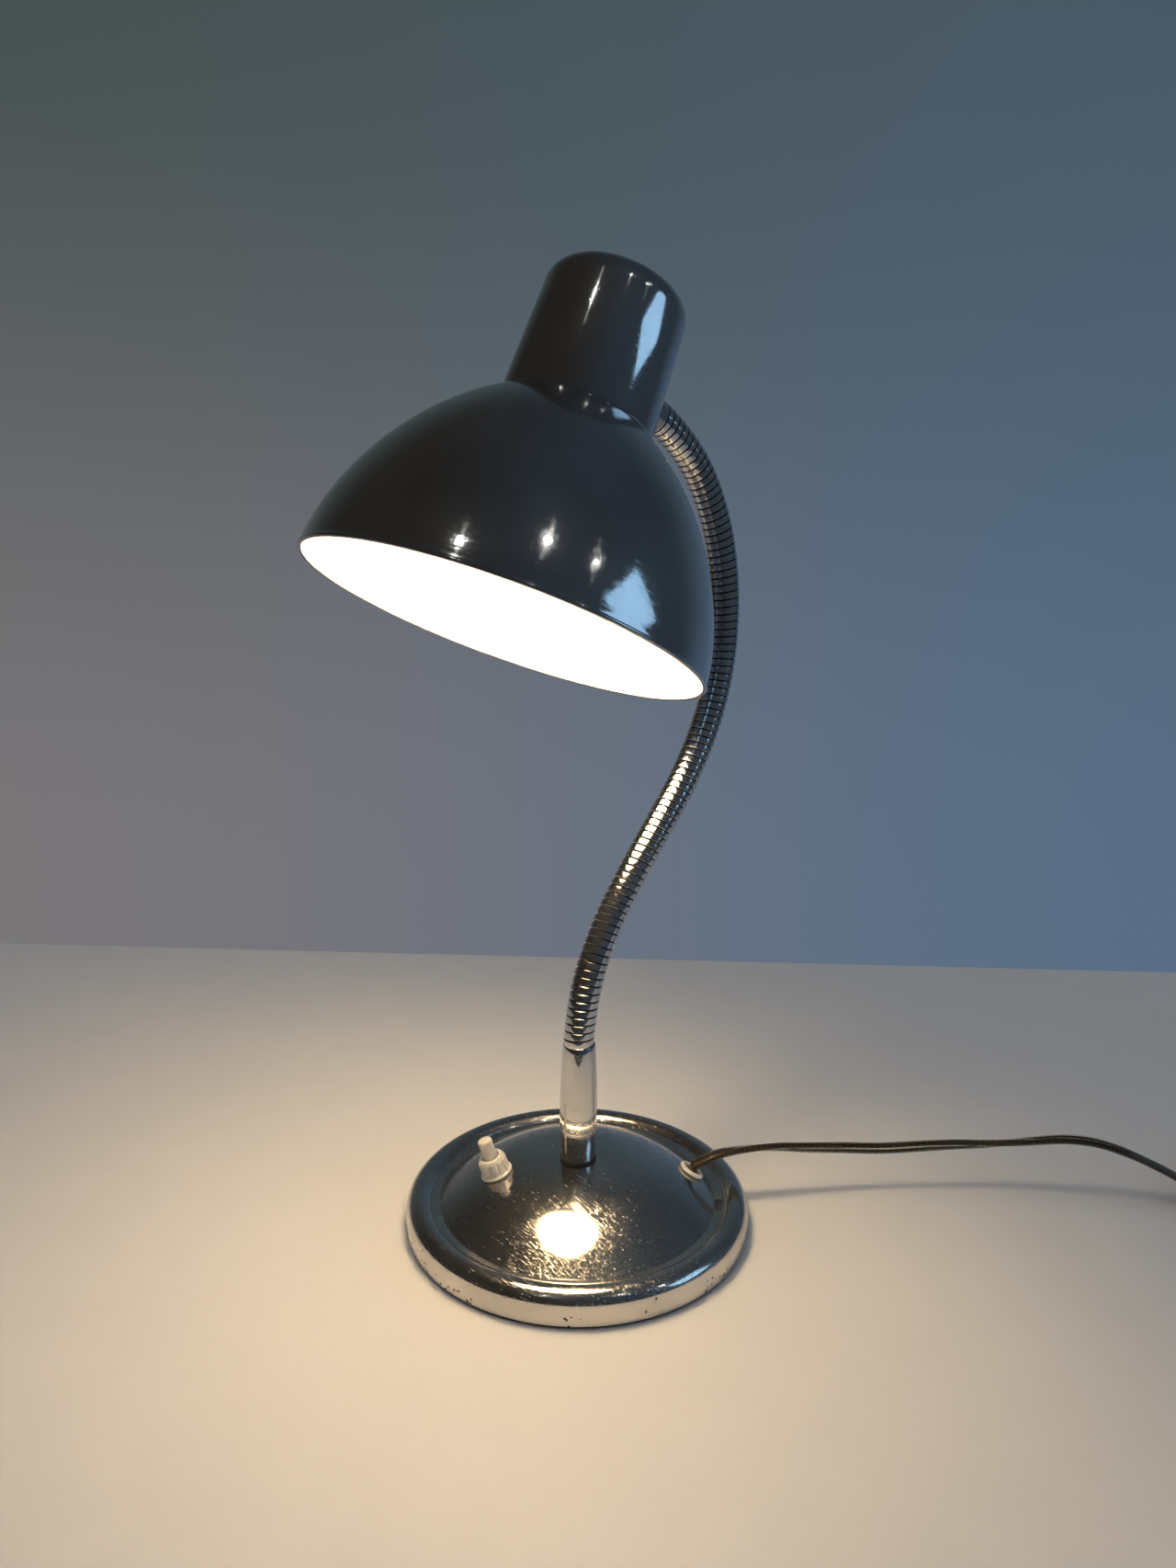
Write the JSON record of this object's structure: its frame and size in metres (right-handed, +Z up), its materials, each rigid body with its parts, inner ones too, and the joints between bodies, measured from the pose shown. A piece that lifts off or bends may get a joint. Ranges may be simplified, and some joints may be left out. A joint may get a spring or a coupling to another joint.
{
  "type": "gooseneck desk lamp",
  "caption": "desk lamp with a round weighted base, a flexible neck, a domed metal shade under a tall cap, a push switch on the base and a mains lead",
  "frame": {"origin": "centre of the base's underside, on the surface that the lamp stands on", "axes": "+Z up; the neck and head lie in the YZ plane; the shade faces -Y, the front; the neck bows to +Y, the back"},
  "size_m": [0.3841, 0.4318, 0.4248],
  "materials": {
    "base_metal": "old polished plate with fine scratches",
    "neck_metal": "polished plate",
    "head_metal": "old polished plate with a haze",
    "shade_metal": "polished plate outside, white enamel inside",
    "pad_rubber": "matte",
    "cover_steel": "zinc plated",
    "weight_iron": "raw casting",
    "brass": "dull",
    "switch_plastic": "aged ivory",
    "grommet_plastic": "aged ivory",
    "spring_steel": "wire",
    "clamp_plastic": "matte",
    "block_plastic": "matte",
    "cord_cover": "clear golden brown over dark strands",
    "wire_cover": "smooth",
    "plug_plastic": "aged ivory",
    "pin_metal": "nickelled",
    "holder_plastic": "moulded",
    "bulb_glass": "frosted inside",
    "bulb_insulator": "dark"
  },
  "bodies": {
    "base": {"base_shell": "base_metal", "base_pad": "pad_rubber", "base_cover": "cover_steel", "base_ballast": "weight_iron", "cover_screws": "cover_steel", "stem_nipple": "brass", "stem_nut": "brass", "stem_washer": "cover_steel", "foot_washer": "neck_metal", "lower_ferrule": "neck_metal", "switch_body": "switch_plastic", "switch_collar": "switch_plastic", "switch_spring": "spring_steel", "switch_terminals": "brass", "cord_grommet": "grommet_plastic", "cord_clamp": "clamp_plastic", "clamp_screws": "cover_steel", "base_lead": "cord_cover", "base_wires": "wire_cover", "terminal_block": "block_plastic", "terminal_screws": "brass", "cord_run": "cord_cover", "cord_coil": "cord_cover", "cord_tail": "cord_cover", "plug_body": "plug_plastic", "plug_pins": "pin_metal", "neck_wires": "wire_cover"},
    "neck_01": {"link_01": "neck_metal"},
    "neck_02": {"link_02": "neck_metal"},
    "neck_03": {"link_03": "neck_metal"},
    "neck_04": {"link_04": "neck_metal"},
    "neck_05": {"link_05": "neck_metal"},
    "neck_06": {"link_06": "neck_metal"},
    "neck_07": {"link_07": "neck_metal"},
    "neck_08": {"link_08": "neck_metal"},
    "neck_09": {"link_09": "neck_metal"},
    "neck_10": {"link_10": "neck_metal"},
    "neck_11": {"link_11": "neck_metal"},
    "neck_12": {"link_12": "neck_metal"},
    "head": {"neck_sleeve": "neck_metal", "cap": "head_metal", "shade": "shade_metal", "lampholder": "holder_plastic", "holder_shell": "brass", "holder_contact": "brass", "holder_terminals": "brass", "holder_bracket": "cover_steel", "holder_screw": "brass", "upper_nipple": "brass", "upper_nut": "brass", "shade_ring": "holder_plastic", "bulb_glass": "bulb_glass", "bulb_cap": "brass", "bulb_contact": "bulb_insulator"},
    "button": {"switch_button": "switch_plastic"}
  },
  "joints": [
    {"name": "bend_01", "type": "hinge", "parent": "base", "child": "neck_01", "pos_m": [0, 0, 0.094], "axis": [1, 0, 0], "range_deg": [-12, 12], "deforming": ["neck_wires"]},
    {"name": "side_02", "type": "hinge", "parent": "neck_01", "child": "neck_02", "pos_m": [0, 0.00536, 0.11924], "axis": [0, 0.9455, -0.3256], "range_deg": [-8, 8]},
    {"name": "bend_03", "type": "hinge", "parent": "neck_02", "child": "neck_03", "pos_m": [0, 0.01667, 0.14242], "axis": [1, 0, 0], "range_deg": [-12, 12]},
    {"name": "side_04", "type": "hinge", "parent": "neck_03", "child": "neck_04", "pos_m": [0, 0.03184, 0.1633], "axis": [0, 0.788, -0.6157], "range_deg": [-8, 8]},
    {"name": "bend_05", "type": "hinge", "parent": "neck_04", "child": "neck_05", "pos_m": [0, 0.04842, 0.18306], "axis": [1, 0, 0], "range_deg": [-12, 12]},
    {"name": "side_06", "type": "hinge", "parent": "neck_05", "child": "neck_06", "pos_m": [0, 0.06466, 0.20311], "axis": [0, 0.8192, -0.5736], "range_deg": [-8, 8]},
    {"name": "bend_07", "type": "hinge", "parent": "neck_06", "child": "neck_07", "pos_m": [0, 0.07795, 0.22523], "axis": [1, 0, 0], "range_deg": [-12, 12]},
    {"name": "side_08", "type": "hinge", "parent": "neck_07", "child": "neck_08", "pos_m": [0, 0.08677, 0.24947], "axis": [0, 0.9724, -0.2334], "range_deg": [-8, 8]},
    {"name": "bend_09", "type": "hinge", "parent": "neck_08", "child": "neck_09", "pos_m": [0, 0.08992, 0.27508], "axis": [1, 0, 0], "range_deg": [-24, 8]},
    {"name": "side_10", "type": "hinge", "parent": "neck_09", "child": "neck_10", "pos_m": [0, 0.08767, 0.30078], "axis": [0, 0.9799, 0.1994], "range_deg": [-8, 8]},
    {"name": "bend_11", "type": "hinge", "parent": "neck_10", "child": "neck_11", "pos_m": [0, 0.07969, 0.32532], "axis": [1, 0, 0], "range_deg": [-24, 8]},
    {"name": "side_12", "type": "hinge", "parent": "neck_11", "child": "neck_12", "pos_m": [0, 0.06564, 0.34696], "axis": [0, 0.7431, 0.6691], "range_deg": [-8, 8]},
    {"name": "bend_13", "type": "hinge", "parent": "neck_12", "child": "head", "pos_m": [0, 0.04559, 0.36319], "axis": [1, 0, 0], "range_deg": [-24, 8]},
    {"name": "switch_press", "type": "slide", "parent": "base", "child": "button", "axis": [0.1734, 0.2721, -0.9465], "range_m": [0, 0.003], "stiffness_N_per_m": 400, "springref_m": -0.003, "deforming": ["switch_spring"]}
  ],
  "couplings": [
    {"joint": "bend_03", "follows": "bend_01", "ratio": 1},
    {"joint": "side_04", "follows": "side_02", "ratio": 1},
    {"joint": "bend_05", "follows": "bend_01", "ratio": 1},
    {"joint": "side_06", "follows": "side_02", "ratio": 1},
    {"joint": "bend_07", "follows": "bend_01", "ratio": 1},
    {"joint": "side_08", "follows": "side_02", "ratio": 1},
    {"joint": "side_10", "follows": "side_02", "ratio": 1},
    {"joint": "bend_11", "follows": "bend_09", "ratio": 1},
    {"joint": "side_12", "follows": "side_02", "ratio": 1},
    {"joint": "bend_13", "follows": "bend_09", "ratio": 1}
  ]
}
